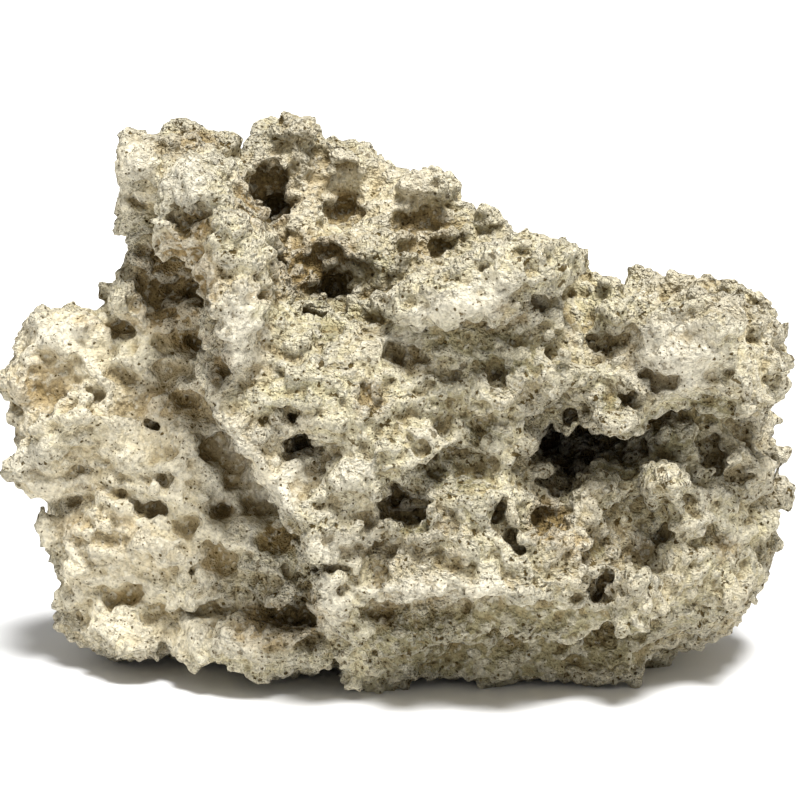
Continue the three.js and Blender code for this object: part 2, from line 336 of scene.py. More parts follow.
hollows = [
    # the outline
    (-121, 105, 6, 10, 14, 0), (61, 130, 11, 12, 30, 0), (76, 127.5, 10, 7, 30, 0), (97, 126, 22, 5, 30, 5),
    (-90.5, 147, 6, 9, 25, 0), (-89.5, 171.5, 8, 8, 20, 0), (-44, 175.5, 9, 7, 20, 0),
    (-105, 116, 12, 4, 14, 0), (118, 32, 6, 18, 25, 20), (112, 18, 9, 12, 25, 40), (103, 6, 14, 9, 30, -35),
    (88, -1, 20, 6, 30, -15), (-70, 1, 22, 7, 30, 0), (-60, -2, 14, 6, 30, 20), (-28, -3.5, 20, 7, 30, 0),
    (40, 140, 8, 5, 9, 0),
    # the horn and what is under it
    (-63.5, 142, 14, 11, 11, 0), (-40, 145, 10, 11, 9, 0), (-43, 154, 13, 4, 3.5, 0),
    (-70, 124, 15, 12, 5.5, 20), (-73, 131, 10, 6, 6, 0), (-76, 115, 9, 11, 7, 20), (-65, 118, 7, 8, 6, 0),
    (-37, 127, 6, 4, 6, 20), (-72, 141, 4, 3, 4, 0), (-46, 138, 3, 2, 3, 30), (-55, 148, 6, 4, 3, 0),
    # the ridge and the crater
    (-17.5, 145, 8, 9, 6, 0), (-15, 138, 6, 4, 4, 0), (8, 142, 17, 6, 4, 0), (3, 134, 7, 8, 5, 0),
    (13, 133, 6, 5, 3.5, 0), (-27, 128, 17, 12, 4, -30), (-21, 119.5, 8.5, 7, 14, 0),
    (-41, 117, 11, 3, 5, -6), (-16, 155, 9, 7, 4, 0), (0, 157, 6, 5, 3, 0), (10, 153, 6, 4, 3, 0),
    (-37, 163, 7, 4, 3, 0), (-24, 106, 12, 6, 2.5, 10), (12, 127, 4, 4, 2.5, 0), (20.5, 126.5, 4, 3, 3, 0),
    (26.5, 127, 5, 3.5, 3.5, 0), (18, 122.5, 6, 4, 3, 0), (15.5, 117, 3.6, 3, 3, 0), (36, 116, 12, 4, 4, 25),
    (43, 114, 5, 4, 3, 0), (31, 123, 3, 2.6, 3, 0), (37, 133, 4, 3, 3, 0), (48, 131, 4, 3, 3, 0),
    # the left lobe
    (-111, 97, 12, 6, 4, -10), (-113, 89, 20, 14, 3.5, 0), (-112, 85, 7, 4.5, 3.5, 0), (-106, 81, 4, 3, 4, 0),
    (-96, 85, 4, 7, 5, 0), (-101, 94, 4, 4, 4, 0), (-92, 73.5, 4, 2, 3, -20), (-76, 75, 6, 3.5, 4, 0),
    (-61.5, 77.5, 6, 4.5, 6, 0), (-64, 81, 12, 8, 3.5, 0), (-88.5, 107, 10, 4.5, 3.5, 0),
    (-83, 113, 5, 5, 4, 0), (-65, 102.5, 12, 5, 7, 0), (-74, 91, 15, 9, 2.5, 10), (-82, 85, 4, 3, 3, 0),
    (-69, 84.5, 3, 3, 4, 0), (-104, 64, 12, 6, 3, 0), (-56, 50.5, 7, 4, 8, 0), (-54.5, 47, 3.5, 6, 4, 20),
    (-66, 44.5, 9, 5, 4, 25), (-38, 41, 12, 10, 10, 0), (-34, 39, 5, 4, 5.5, -40), (-100, 45, 5, 3, 4, 0),
    (-79, 35, 3, 3, 3.5, 0), (-65, 29, 3.4, 5, 5, 15), (-57, 34, 6, 9, 4, 0), (-58, 31, 5, 3.4, 4, 0),
    (-47.5, 27, 6.5, 2.6, 4, -15), (-86.5, 23, 13, 4, 5.5, 12), (-91, 20.5, 4, 3, 5, 0),
    (-77, 17.5, 14, 6, 3, 0), (-77, 16, 4, 2, 3.5, 0), (-38, 18, 21, 5, 4, 3), (-31, 17, 7, 11, 4, 0),
    (-85, 32, 4, 1.8, 3, 30), (-104, 28, 5, 2, 2.5, 40), (-96, 8, 9, 1.8, 3, 0), (-59, 12, 4, 4, 3, 0),
    # the middle
    (-33.5, 79.5, 5.6, 6, 12, 0), (-31, 71, 6.6, 9.5, 15, 0), (-23.7, 75, 2.4, 2.4, 4, 0),
    (-48, 77, 5, 1.8, 4, 10), (-45, 92.5, 8, 5, 3, 0), (-37, 93, 6, 4, 4, 0), (-10.5, 88, 5, 8, 4, 0),
    (-5.5, 83, 7, 2.6, 3, 0), (17, 93, 6, 3.6, 3.5, -15), (9.5, 88, 9, 4.5, 2, 0),
    (2.3, 73.5, 3.2, 5, 3.5, 15), (8, 69, 9, 3.4, 3, -20), (18, 61.5, 20, 6, 3, 0), (25.5, 74, 9, 8, 2.5, 0),
    (0, 54.5, 9, 8, 11, 0), (5, 50, 10, 8, 6, -20), (2.5, 45, 11, 5, 2.5, 0), (5.3, 40, 2.4, 5, 3, 10),
    (30.7, 49.7, 5.4, 7.6, 12, -5), (41.5, 49, 6, 9, 7.5, 0), (46, 47.5, 12, 11, 8, 0),
    (48, 55.5, 3, 9, 4, 0), (58.5, 44.5, 3.4, 7, 4, 40), (16.7, 34.5, 4.6, 6, 3, 0), (-4, 29, 4, 2.4, 4, 0),
    (-17, 25, 5, 2.6, 4, 20), (-23, 19, 2.6, 3.6, 4, 0), (-18.5, 22, 2.6, 1.8, 3, 0),
    (-4.5, 16.5, 10, 9, 8, 0), (-18, 5.7, 3.2, 3.2, 6, 0), (-15, 7.6, 1.6, 2.4, 4, 0),
    (-9, 2.4, 3.2, 2.2, 4, 0), (14, 17, 2.4, 2, 3, 0), (24, 33, 4, 4, 2.5, 0), (29, 25, 2, 3.2, 3, 0),
    (11, 34.5, 2, 3, 3, 0), (-18, 45, 2.6, 2.6, 4, 0),
    # the arm and what is under it
    (32.3, 94, 7.6, 8, 6, 0), (37.3, 102.7, 5, 3.6, 3.5, 15), (46, 107.6, 3.6, 3, 4, 0),
    (50, 101, 7, 8, 13, 0), (55, 96, 7, 3, 3, 0), (62, 98, 7, 5, 3.5, 0), (82.5, 116.5, 7, 3, 6, 15),
    (91.3, 112, 2.6, 3, 4, 0), (119.5, 107, 4, 3, 4, 30), (72.2, 85, 4.4, 4.6, 10, 0), (66, 84, 8, 4.6, 2, 0),
    (93, 82, 22, 6, 3, 8), (90, 78, 2, 2, 4, 0), (53, 80.5, 12, 10, 24, 0), (47.5, 75, 11, 9, 22, 0),
    (58, 75, 7, 6, 14, 0), (44, 71, 6, 7, 10, 0), (98, 66, 8, 12, 15, 25), (104, 61, 9, 3.6, 5, 0),
    (92.5, 66, 3, 3, 4, 0), (113, 77, 10, 12, 3.5, 0), (65, 26.5, 11, 9, 13, 10), (62.5, 25, 6, 8, 17, 0),
    (75.5, 49.5, 4, 2.4, 3, 0), (92.5, 48, 5, 3.4, 3.5, 0), (82, 42, 3.6, 3, 3.5, 0),
    (102.5, 38.5, 7, 6, 3, 0), (113, 42, 4, 8, 4, 0), (107, 43, 3, 2, 3, 0), (75.5, 9.4, 6, 2.8, 7, 0),
    (54.5, 1.6, 6, 4, 4, 0), (93, 18, 3, 2, 3, -30), (62, 37, 4, 4, 2, 0), (116, 54, 5, 3, 2.5, 0),
    (55, 118, 4, 6, 4, 0), (112, 103, 6, 2.4, 3, -15), (104, 93, 2.6, 4, 4, 0),
]
grooves = [
    (11, 9, (-68, 84), (-60, 73), (-51, 61), (-43, 50), (-37, 40), (-34, 30)),
    (3, 4, (-87, 150), (-84, 147), (-78, 143)), (5, 4, (-86, 129), (-81, 122), (-74, 118)),
    (2.6, 5, (-108, 53), (-101, 53), (-97, 56), (-93, 58), (-88, 56), (-82, 51)),
    (2.6, 4, (-82, 51), (-76, 50), (-70, 46), (-66, 42)),
    (2.6, 5, (-80, 61), (-77, 63), (-74, 61), (-74, 56), (-77, 53)),
    (2.6, 5, (-80, 60), (-80, 56), (-78, 53.5)), (5, 9, (-62, 101), (-58, 96), (-54, 92)),
    (4, 5, (-58, 109), (-58.5, 103), (-59, 98)), (4, 4, (-37, 36), (-31, 31), (-29, 24)),
    (3.4, 5, (-45, 18.5), (-37, 20.5), (-29, 22)), (4, 9, (32, 46), (35, 41), (37, 37)),
    (2.2, 4, (-30, 42), (-25, 41), (-19, 42)), (3, 4, (-28, 32.5), (-21, 31.5), (-15, 31)),
    (3, 4, (5, 64), (14, 67), (24, 65.5)), (3, 3, (-10, 26.5), (-3, 25.5), (3, 26)),
    (3, 3, (6, 20.5), (14, 18.5), (26, 18)), (3, 5, (-20, 10), (-28, 9.5), (-33, 5)),
    (3, 6, (74, 92.6), (80, 90.2), (87, 91)), (2.4, 3, (70, 102), (70.5, 97), (74, 93)),
    (4, 5, (52, 121), (52, 113), (54, 107)), (4, 4, (58, 100), (62, 103), (69, 101)),
    (2.6, 4, (80, 60), (82, 53), (84, 48), (82, 43)), (2.6, 4, (92, 60), (92, 49), (97, 45), (99, 38)),
    (2.6, 3, (82, 34), (90, 34), (97, 31)), (2.6, 3, (86, 30), (84, 22), (77, 20)),
    (3.4, 4, (80, 8), (88, 8), (95, 9)), (3, 3, (-80, 20), (-66, 19), (-50, 18.6)),
    (3, 3, (-108, 41), (-100, 39), (-84, 40)), (3, 3, (-103, 99), (-101, 93), (-104, 88)),
    (2.6, 4, (105, 60.5), (112, 60)), (3, 3, (-26, 136), (-20, 131), (-12, 127)),
    (2.4, 3, (-6, 106), (-2, 109), (2, 110)),
]


def ballAt(surface, pattern, feature):
    # centred where the line of sight meets the surface, and facing along it
    across, up, width, height, depth, turn = feature
    direction = sightThrough(across, up)
    place = surface.ray_cast(eye, direction)[0]
    if place is None:
        # past the outline it is as far away as the nearest part of the rock
        beside = surface.find_nearest(eye + direction * viewpoint["distance"])[0]
        place = eye + direction * (beside - eye).dot(direction)
    side = direction.cross(upwards).normalized()
    above = side.cross(direction).normalized()
    axes = Matrix((side, direction, above)).transposed().to_4x4()
    tilt = Matrix.Rotation(-math.radians(turn), 4, "Y")
    size = Matrix.Diagonal((width / 2 * mm, depth * mm, height / 2 * mm, 1))
    ball = pattern.copy()
    ball.data = pattern.data.copy()
    ball.data.transform(Matrix.Translation(place) @ axes @ tilt @ size)
    bpy.context.scene.collection.objects.link(ball)
    return ball


def chain(width, depth, *points):
    # balls along the points, a third of their width apart, narrower at the two ends
    steps = []
    for (x0, v0), (x1, v1) in zip(points, points[1:]):
        count = max(1, round(math.hypot(x1 - x0, v1 - v0) / (width * 0.3)))
        steps += [(x0 + (x1 - x0) * i / count, v0 + (v1 - v0) * i / count) for i in range(count)]
    steps.append(points[-1])
    balls = []
    for index, (across, up) in enumerate(steps):
        fromEnd = min(index, len(steps) - 1 - index) / max(1, len(steps) - 1)
        swell = 0.7 + min(0.3, 1.5 * fromEnd)
        balls.append((across, up, width * swell, width * swell, depth * swell, 0))
    return balls


ragged = {
    "seed": 3,
    "smallest": 3.5,  # hollows narrower than this stay round
    "core": 0.78,
    "dish": (1.3, 0.15, 0.6),  # how much wider, what share of the depth, and mm more
    "bites": 4,
    "biteSize": (0.35, 0.7),
    "biteReach": (0.62, 0.3),  # how far out a bite lies, and how much less when it is bigger
    "biteDepth": (0.3, 0.8),
    "biteTurn": 40,
}


def raggedHoles(features):
    # each hollow is a core with bites out of its rim, in a shallow dish
    dice = random.Random(ragged["seed"])
    furthest, less = ragged["biteReach"]
    made = []
    for across, up, width, height, depth, turn in features:
        if min(width, height) < ragged["smallest"]:
            made.append((across, up, width, height, depth, turn))
            continue
        core = ragged["core"]
        made.append((across, up, width * core, height * core, depth, turn))
        wider, shallower, more = ragged["dish"]
        made.append((across, up, width * wider, height * wider, depth * shallower + more, turn))
        for count in range(ragged["bites"]):
            angle, size = dice.uniform(0, 2 * math.pi), dice.uniform(*ragged["biteSize"])
            reach = furthest - less * size
            x, v = across + width * reach * math.cos(angle), up + height * reach * math.sin(angle)
            bite = depth * dice.uniform(*ragged["biteDepth"])
            lean = dice.uniform(-ragged["biteTurn"], ragged["biteTurn"])
            made.append((x, v, width * size, height * size, bite, lean))
    return made


def setOut(body, name, features):
    deselect()
    bpy.ops.mesh.primitive_ico_sphere_add(subdivisions=2, radius=1)
    pattern = bpy.context.object
    tree = BVHTree.FromObject(body, bpy.context.evaluated_depsgraph_get())
    balls = [ballAt(tree, pattern, feature) for feature in features]
    removeObject(pattern)
    joinInto(balls[0], balls[1:])
    balls[0].name = name
    return balls[0]


scatter = {
    "seed": 7,
    "holes": 170,
    "width": (2.0, 9.0),
    "depth": (0.8, 1.6),
    "stretch": (0.8, 1.8),
    "lean": 0.4,
    "front": 0.1,  # what turns towards the viewpoint by more than this was set out one by one
    "frontSkip": 0.75,
    "frontWidth": 2.8,
}


def scatterHollows(surface, name):
    # more borings, at random: few and small on the side that was set out one by one
    dice = random.Random(scatter["seed"])
    mesh = surface.data
    deselect()
    bpy.ops.mesh.primitive_ico_sphere_add(subdivisions=3, radius=1)
    pattern = bpy.context.object
    made = []
    while len(made) < scatter["holes"]:
        vertex = mesh.vertices[dice.randrange(len(mesh.vertices))]
        facing = -vertex.normal.dot(towards)
        if facing > scatter["front"] and dice.random() < scatter["frontSkip"]:
            continue
        low, high = scatter["width"]
        if facing > scatter["front"]:
            high = scatter["frontWidth"]
        radius = (low + (high - low) * dice.random() ** 2) / 2
        deep = radius * dice.uniform(*scatter["depth"])
        lean = Vector((dice.uniform(-1, 1), dice.uniform(-1, 1), dice.uniform(-1, 1))) * scatter["lean"]
        axis = (vertex.normal + lean).normalized()
        size = Matrix.Diagonal((radius * mm * dice.uniform(*scatter["stretch"]), radius * mm, deep * mm, 1))
        ball = pattern.copy()
        ball.data = pattern.data.copy()
        turn = axis.to_track_quat("Z", "Y").to_matrix().to_4x4()
        ball.data.transform(Matrix.Translation(vertex.co) @ turn @ size)
        bpy.context.scene.collection.objects.link(ball)
        made.append(ball)
    removeObject(pattern)
    joinInto(made[0], made[1:])
    made[0].name = name
    return made[0]


def dropLooseCrumbs(obj):
    # the rock itself holds the point farthest right, and what isn't joined to that goes
    choose(obj)
    bpy.ops.object.mode_set(mode="EDIT")
    bpy.ops.mesh.select_all(action="DESELECT")
    bpy.ops.object.mode_set(mode="OBJECT")
    rightmost = max(obj.data.vertices, key=lambda vertex: vertex.co.x)
    rightmost.select = True
    bpy.ops.object.mode_set(mode="EDIT")
    bpy.ops.mesh.select_linked()
    bpy.ops.mesh.select_all(action="INVERT")
    bpy.ops.mesh.delete(type="VERT")
    bpy.ops.object.mode_set(mode="OBJECT")


carving = {
    "broadVoxel": 1.3,
    "fineVoxel": 0.8,
    "broadRag": (12, 3.0),  # spacing and size of the pull on the hollows, in mm
    "fineRag": (5, 1.6),
    "smoothPasses": (4, 6, 4),  # after the broad ridges, the broad hollows and the knobs
}


def rag(balls, size, reach):
    # hollows are never true balls: each is pulled about before it cuts
    def build(tree, geometry):
        place = tree.add("GeometryNodeInputPosition").outputs[0]
        offset = tree.wander(place, size, reach)
        return tree.add("GeometryNodeSetPosition", {"Geometry": geometry, "Offset": offset}).outputs[0]

    applyGeometryNodes(balls, "rag", build)


def addTo(body, features, voxel):
    joinInto(body, [setOut(body, "knobs", features)])
    remesh(body, voxel)


def cutFrom(body, features, voxel, pull, scattered=None):
    cutters = setOut(body, "hollows", features)
    if scattered:
        joinInto(cutters, [scattered])
    remesh(cutters, voxel)
    rag(cutters, *pull)
    applyModifier(body, "BOOLEAN", operation="DIFFERENCE", solver="MANIFOLD", object=cutters)
    removeObject(cutters)
    remesh(body, voxel)


def spread(chains):
    return [ball for points in chains for ball in chain(*points)]


def carve(body):
    afterRidges, afterHollows, afterKnobs = carving["smoothPasses"]
    addTo(body, spread(broadRidges), carving["broadVoxel"])
    smooth(body, afterRidges)
    cutFrom(body, broadHollows + spread(broadGrooves), carving["broadVoxel"], carving["broadRag"])
    smooth(body, afterHollows)
    addTo(body, knobs + spread(ridges), carving["fineVoxel"])
    smooth(body, afterKnobs)
    loose = scatterHollows(body, "scattered")
    cutFrom(body, raggedHoles(hollows) + spread(grooves), carving["fineVoxel"], carving["fineRag"], loose)
    dropLooseCrumbs(body)
    print("carved", len(body.data.polygons))


# patches of colour at their places on the rock, as seen from the viewpoint
# the soft and the chalky ones are smoother too
# each is: across, up, width, height, turn in degrees, strength
patches = {
    "soft": [
        (-88, 84, 70, 60, 0, 1), (-92, 42, 60, 60, 0, 1), (-60, 50, 40, 50, 40, 1),
        (-108, 100, 30, 30, 0, 0.8), (-80, 15, 60, 26, 0, 0.8), (-70, 122, 30, 36, 15, 0.7),
        (-85, 155, 20, 34, 0, 0.8), (50, 4, 110, 14, 0, 0.6), (-10, 150, 80, 26, -15, 0.6),
        (110, 70, 34, 34, 0, 0.6),
    ],
    "chalky": [
        (18, 113, 46, 14, -24, 1), (86, 99, 30, 26, 0, 1), (-49, 105, 18, 26, 0, 1),
        (-37, 54, 12, 50, 35, 0.9), (-22, 39, 20, 10, -10, 0.8), (12, 24, 70, 12, 0, 0.8),
        (45, 17, 60, 12, 0, 0.8), (-22, 60, 34, 34, 0, 0.6), (-67, 154, 20, 20, 0, 0.8),
        (-108, 106, 26, 12, 0, 0.7), (-118, 66, 18, 12, 0, 0.7), (-22, 19, 14, 22, 0, 0.8),
        (-73, 141, 10, 20, 0, 0.6), (-55, 60, 22, 34, 0, 0.8), (-83, 158, 14, 20, 0, 0.6),
        (60, 27, 30, 24, 0, 0.4), (28, 104, 30, 12, -15, 0.7), (-35, 76, 20, 20, 0, 0.5),
        (-60, 8, 60, 10, 0, 0.4),
    ],
    "ochre": [
        (-112, 89, 22, 18, 0, 0.8), (-40, 13, 24, 14, 0, 1), (-28, 17, 6, 14, 0, 1), (-9, 84, 14, 14, 0, 0.6),
        (-64, 166, 16, 8, 0, 0.8), (-20, 152, 60, 24, 15, 0.4), (8, 138, 26, 18, 0, 0.7),
        (46, 46, 14, 14, 0, 1), (55, 38, 14, 10, 0, 0.8), (17, 34, 6, 8, 0, 1), (-72, 83, 26, 14, 0, 0.7),
        (-92, 44, 44, 18, 0, 0.5), (-41, 117, 14, 5, 0, 0.8), (-45, 149, 16, 20, 0, 0.7),
        (-64, 139, 11, 10, 0, 0.8), (-68, 103, 20, 8, 0, 0.7), (102, 38, 12, 10, 0, 0.6),
        (3, 96, 14, 10, 0, 0.6), (-58, 33, 9, 10, 0, 0.8), (34, 112, 12, 10, 0, 0.5),
        (54, 108, 8, 18, 0, 0.6), (76, 38, 12, 8, 0, 0.6), (-70, 118, 22, 26, 0, 0.6),
        (-99, 109, 10, 6, 0, 0.7), (-28, 127, 26, 20, 0, 1), (48, 55, 5, 12, 0, 0.8),
    ],
    # umber: dark brown in the hollows, partly painted shade
    "umberShade": [
        (-71, 122, 26, 32, 12, 1), (-42, 148, 16, 20, 0, 0.9), (-18, 145, 10, 12, 0, 0.9),
        (-27, 127, 26, 15, -20, 0.9), (-38, 41, 13, 10, 0, 0.9), (46, 46, 12, 13, 0, 0.8),
        (-36, 17, 26, 7, 4, 0.9), (8, 141, 26, 9, 0, 0.6), (-110, 88, 20, 12, -10, 0.5),
        (1, 52, 11, 9, 0, 0.8), (-55, 50, 7, 6, 0, 0.8), (-88, 107, 12, 6, 0, 0.8), (-66, 103, 14, 6, 0, 0.9),
        (-64, 139, 11, 9, 0, 0.9), (-85, 22, 14, 5, 10, 0.8), (-57, 95, 9, 14, 20, 0.7),
        (63, 26, 9, 7, 0, 0.7), (-5, 17, 10, 9, 0, 0.6), (-94, 56, 22, 4, 10, 0.6), (-9, 87, 8, 8, 0, 0.6),
    ],
    "lemon": [
        (-35, 86, 44, 14, -8, 0.7), (-20, 112, 40, 10, 5, 0.8), (62, 114, 22, 18, 0, 0.8),
        (20, 82, 34, 16, 0, 0.5), (-10, 126, 26, 14, 0, 0.6), (-40, 112, 16, 8, 0, 0.6),
        (75, 50, 40, 16, 0, 0.5), (95, 20, 30, 20, 0, 0.4), (-80, 100, 30, 12, 0, 0.4),
        (22, 36, 40, 16, 0, 0.4), (60, 92, 24, 10, 0, 0.5),
    ],
    # olive: under the overhangs, in the cave and along the foot, painted shade, partly algae
    "oliveShade": [
        (3, 46, 14, 9, 0, 1), (18, 60, 26, 9, 0, 0.9), (-38, 41, 14, 12, 0, 1), (26, 50, 24, 14, 0, 0.6),
        (-24, 106, 14, 7, 0, 0.8), (33, 94, 10, 10, 0, 0.8), (66, 84, 10, 6, 0, 0.9),
        (96, 81, 26, 10, 0, 0.9), (85, 73, 20, 16, 0, 1), (27, 74, 12, 10, 0, 0.7), (12, 67, 18, 6, 0, 0.6),
        (68, 64, 26, 12, 0, 0.8), (36, 9, 100, 28, 0, 0.9), (28, 101, 60, 16, 12, 0.8), (62, 37, 5, 5, 0, 1),
        (35, 60, 16, 10, 0, 0.4),
    ],
}


def paint(body, name, spots):
    # how much of the patch each point of the mesh takes; the side turned away takes none
    mesh = body.data
    place, normal = numpy.empty(len(mesh.vertices) * 3), numpy.empty(len(mesh.vertices) * 3)
    mesh.vertices.foreach_get("co", place)
    mesh.vertices.foreach_get("normal", normal)
    ray = place.reshape(-1, 3) - numpy.array(eye)
    length = numpy.linalg.norm(ray, axis=1)
    facing = numpy.clip(0.4 - 1.5 * (normal.reshape(-1, 3) * ray).sum(axis=1) / length, 0, 1)
    widening = viewpoint["distance"] / (ray @ numpy.array(towards)) / mm
    across, up = ray[:, 0] * widening, ray @ numpy.array(upwards) * widening + viewpoint["aimUp"]
    most = numpy.zeros(len(mesh.vertices))
    for x, v, width, height, turn, strength in spots:
        c, s = math.cos(math.radians(turn)), math.sin(math.radians(turn))
        dx, dv = across - x, up - v
        far = numpy.hypot((dx * c - dv * s) * 2 / width, (dx * s + dv * c) * 2 / height)
        most = numpy.maximum(most, strength * numpy.clip(1.5 - far, 0, 1))
    layer = mesh.attributes.new(name, "FLOAT", "POINT")
    layer.data.foreach_set("value", most * facing)


# scallops, crumbs, grains and pits, then fewer triangles
grain = {
    "coarseBend": (16, 6),  # spacing and size of each layer, in mm
    "scallop": (22, 1.8),
    "dimple": (9, 0.6),
    "ledge": (17, 3.4),
    "voxel": 0.75,
    "fineBend": (5, 1.5),
    "crag": (7, 2.2),
    "crumb": (4.2, 2.6),
    "grit": (2.6, 1.6),
    "pit": (5.2, 1.4),
    "pitShare": 0.2,
    "pitWidth": 0.2,
    "fineVoxel": 0.68,
    "triangles": 196000,
}


def crumble(body):
    def coarse(tree, geometry):
        place = tree.add("GeometryNodeInputPosition").outputs[0]
        bent = tree.vector("ADD", place, tree.wander(place, *grain["coarseBend"]))
        size, height = grain["scallop"]
        scallop = tree.maths("MULTIPLY", tree.scallops(bent, size), height * mm)
        size, height = grain["dimple"]
        dimple = tree.maths("MULTIPLY", tree.scallops(bent, size), height * mm)
        size, height = grain["ledge"]
        flat = tree.vector("MULTIPLY", bent, (0.7, 0.7, 1.6))
        ledge = tree.maths("MULTIPLY", tree.billow(flat, size, 2), height * mm)
        total = tree.maths("ADD", tree.maths("ADD", scallop, dimple), ledge)
        offset = tree.vector("SCALE", tree.steady(5), scale=total)
        return tree.add("GeometryNodeSetPosition", {"Geometry": geometry, "Offset": offset}).outputs[0]

    def fine(tree, geometry):
        place = tree.add("GeometryNodeInputPosition").outputs[0]
        bent = tree.vector("ADD", place, tree.wander(place, *grain["fineBend"]))
        rough = tree.ramp(tree.noise(place, 26, 2).outputs["Fac"], 0.4, 0.58, 1.1, 0.65)
        crust = tree.add("GeometryNodeInputNamedAttribute", {"Name": "crust"}, data_type="FLOAT").outputs[0]
        rough = tree.maths("MULTIPLY", rough, tree.ramp(crust, 0.2, 0.9, 1.0, 0.45))
        size, height = grain["crag"]
        crag = tree.maths("MULTIPLY", tree.billow(bent, size, 2), height * mm)
        size, height = grain["crumb"]
        crumb = tree.maths("MULTIPLY", tree.domes(bent, size), height * mm)
        size, height = grain["grit"]
        grit = tree.maths("MULTIPLY", tree.domes(bent, size), height * mm)
        relief = tree.maths("ADD", tree.maths("ADD", crumb, grit), crag)
        size, height = grain["pit"]
        pit = tree.pits(bent, size, grain["pitShare"], grain["pitWidth"])
        pit = tree.maths("MULTIPLY", pit, -height * mm)
        total = tree.maths("ADD", tree.maths("MULTIPLY", relief, rough), pit)
        offset = tree.vector("SCALE", tree.steady(3), scale=total)
        return tree.add("GeometryNodeSetPosition", {"Geometry": geometry, "Offset": offset}).outputs[0]

    applyGeometryNodes(body, "crag", coarse)
    remesh(body, grain["voxel"])
    paint(body, "crust", patches["chalky"] + patches["soft"])
    applyGeometryNodes(body, "crumble", fine)
    remesh(body, grain["fineVoxel"])
    dropLooseCrumbs(body)
    triangles = sum(len(face.vertices) - 2 for face in body.data.polygons)
    applyModifier(body, "DECIMATE", ratio=grain["triangles"] / triangles)
    print("thinned from", triangles, "to", sum(len(face.vertices) - 2 for face in body.data.polygons))


def sitOnGround(body):
    # what hangs below the ground is pressed flat, and the rock rests on that
    for vertex in body.data.vertices:
        vertex.co.z = max(vertex.co.z, 0.0)


shutting = {
    "rays": 40,  # over the whole sphere, and only those that leave the surface count
    "turn": 2.39996,  # from one ray round to the next, in radians
    "reach": 45,
    "lift": 0.6,
}


def markHollows(body):
    # near and far: how deep each point lies below the evened-out surface round it
    # shut: how much of the sky over each point is taken up by other rock
    def build(tree, geometry):
        place = tree.add("GeometryNodeInputPosition").outputs[0]
        normal = tree.add("GeometryNodeInputNormal").outputs[0]
        for name, passes, reach in (("near", 6, 0.6), ("far", 60, 3.0)):
            outwards = tree.vector("SUBTRACT", tree.blurred(place, passes), place)
            below = tree.vector("DOT_PRODUCT", outwards, normal)
            geometry = tree.store(geometry, name, tree.maths("DIVIDE", below, reach * mm))
        start = tree.vector("ADD", place, tree.vector("SCALE", normal, scale=shutting["lift"] * mm))
        blocked, weight = 0.0, 0.0
        for index in range(shutting["rays"]):
            height = 1 - (2 * index + 1) / shutting["rays"]
            angle = index * shutting["turn"]
            flat = math.sqrt(1 - height * height)
            way = (flat * math.cos(angle), flat * math.sin(angle), height)
            share = tree.maths("MAXIMUM", tree.vector("DOT_PRODUCT", normal, way), 0.0)
            aimed = {"Source Position": start, "Ray Direction": way, "Ray Length": shutting["reach"] * mm}
            ray = tree.add("GeometryNodeRaycast", {"Target Geometry": geometry, **aimed})
            blocked = tree.maths("MULTIPLY_ADD", ray.outputs["Is Hit"], share, blocked)
            weight = tree.maths("ADD", weight, share)
        return tree.store(geometry, "shut", tree.maths("DIVIDE", blocked, weight))

    applyGeometryNodes(body, "mark", build)


body = makeBody()
carve(body)
crumble(body)
sitOnGround(body)
markHollows(body)
choose(body)
bpy.ops.object.shade_smooth()
print("body finished")
for name, spots in patches.items():
    paint(body, name, spots)


# the crumbs and pores that are too small to model
def makeGroup(name, inputs, outputs, build):
    group = bpy.data.node_groups.new(name, "ShaderNodeTree")
    for label, kind, value in inputs:
        socket = group.interface.new_socket(label, in_out="INPUT", socket_type="NodeSocket" + kind)
        if value is not None:
            socket.default_value = value
    for label, kind in outputs:
        group.interface.new_socket(label, in_out="OUTPUT", socket_type="NodeSocket" + kind)
    tree = Tree(group)
    start = tree.add("NodeGroupInput").outputs
    results = build(tree, start)
    tree.add("NodeGroupOutput", dict(zip([label for label, kind in outputs], results)))
    return group


def crumbs(tree, given):
    # rough crumbs of uneven height packed together; the low places between them are small pockets
    at = tree.vector("SCALE", given["Vector"], scale=given["Fineness"])
    flow = tree.add("ShaderNodeTexNoise", {"Vector": at, "Scale": 1.0, "Detail": 3.0, "Roughness": 0.55})
    bent = tree.vector("ADD", at, tree.vector("SCALE", flow.outputs["Color"], scale=0.5))
    cell = tree.add("ShaderNodeTexVoronoi", {"Vector": bent, "Scale": 1.6}, feature="F1").outputs["Distance"]
    dome = tree.ramp(tree.maths("POWER", cell, 2.0), 0.0, 0.7, 0.3, 0.0, False)
    height = tree.maths("ADD", dome, tree.ramp(flow.outputs["Fac"], 0.25, 0.75, 0.0, 1.0, False))
    return height, tree.ramp(height, given["Floor"], tree.maths("SUBTRACT", given["Floor"], 0.1), 0.0, 1.0)


def poreHoles(tree, given):
    # small uneven pores, in some of the cells only
    at = tree.vector("SCALE", given["Vector"], scale=given["Fineness"])
    flow = tree.add("ShaderNodeTexNoise", {"Vector": at, "Scale": 2.5, "Detail": 1.0}).outputs["Color"]
    at = tree.vector("ADD", at, tree.vector("SCALE", flow, scale=0.5))
    cell = tree.add("ShaderNodeTexVoronoi", {"Vector": at, "Scale": 1.0}, feature="F1")
    dice = tree.add("ShaderNodeSeparateXYZ", {0: cell.outputs["Color"]})
    reach = tree.maths("MULTIPLY_ADD", dice.outputs[1], 0.2, 0.12)
    hole = tree.ramp(tree.maths("DIVIDE", cell.outputs["Distance"], reach), 0.55, 1.1, 1, 0)
    return [tree.maths("MULTIPLY", hole, tree.maths("LESS_THAN", dice.outputs[0], given["Share"]))]


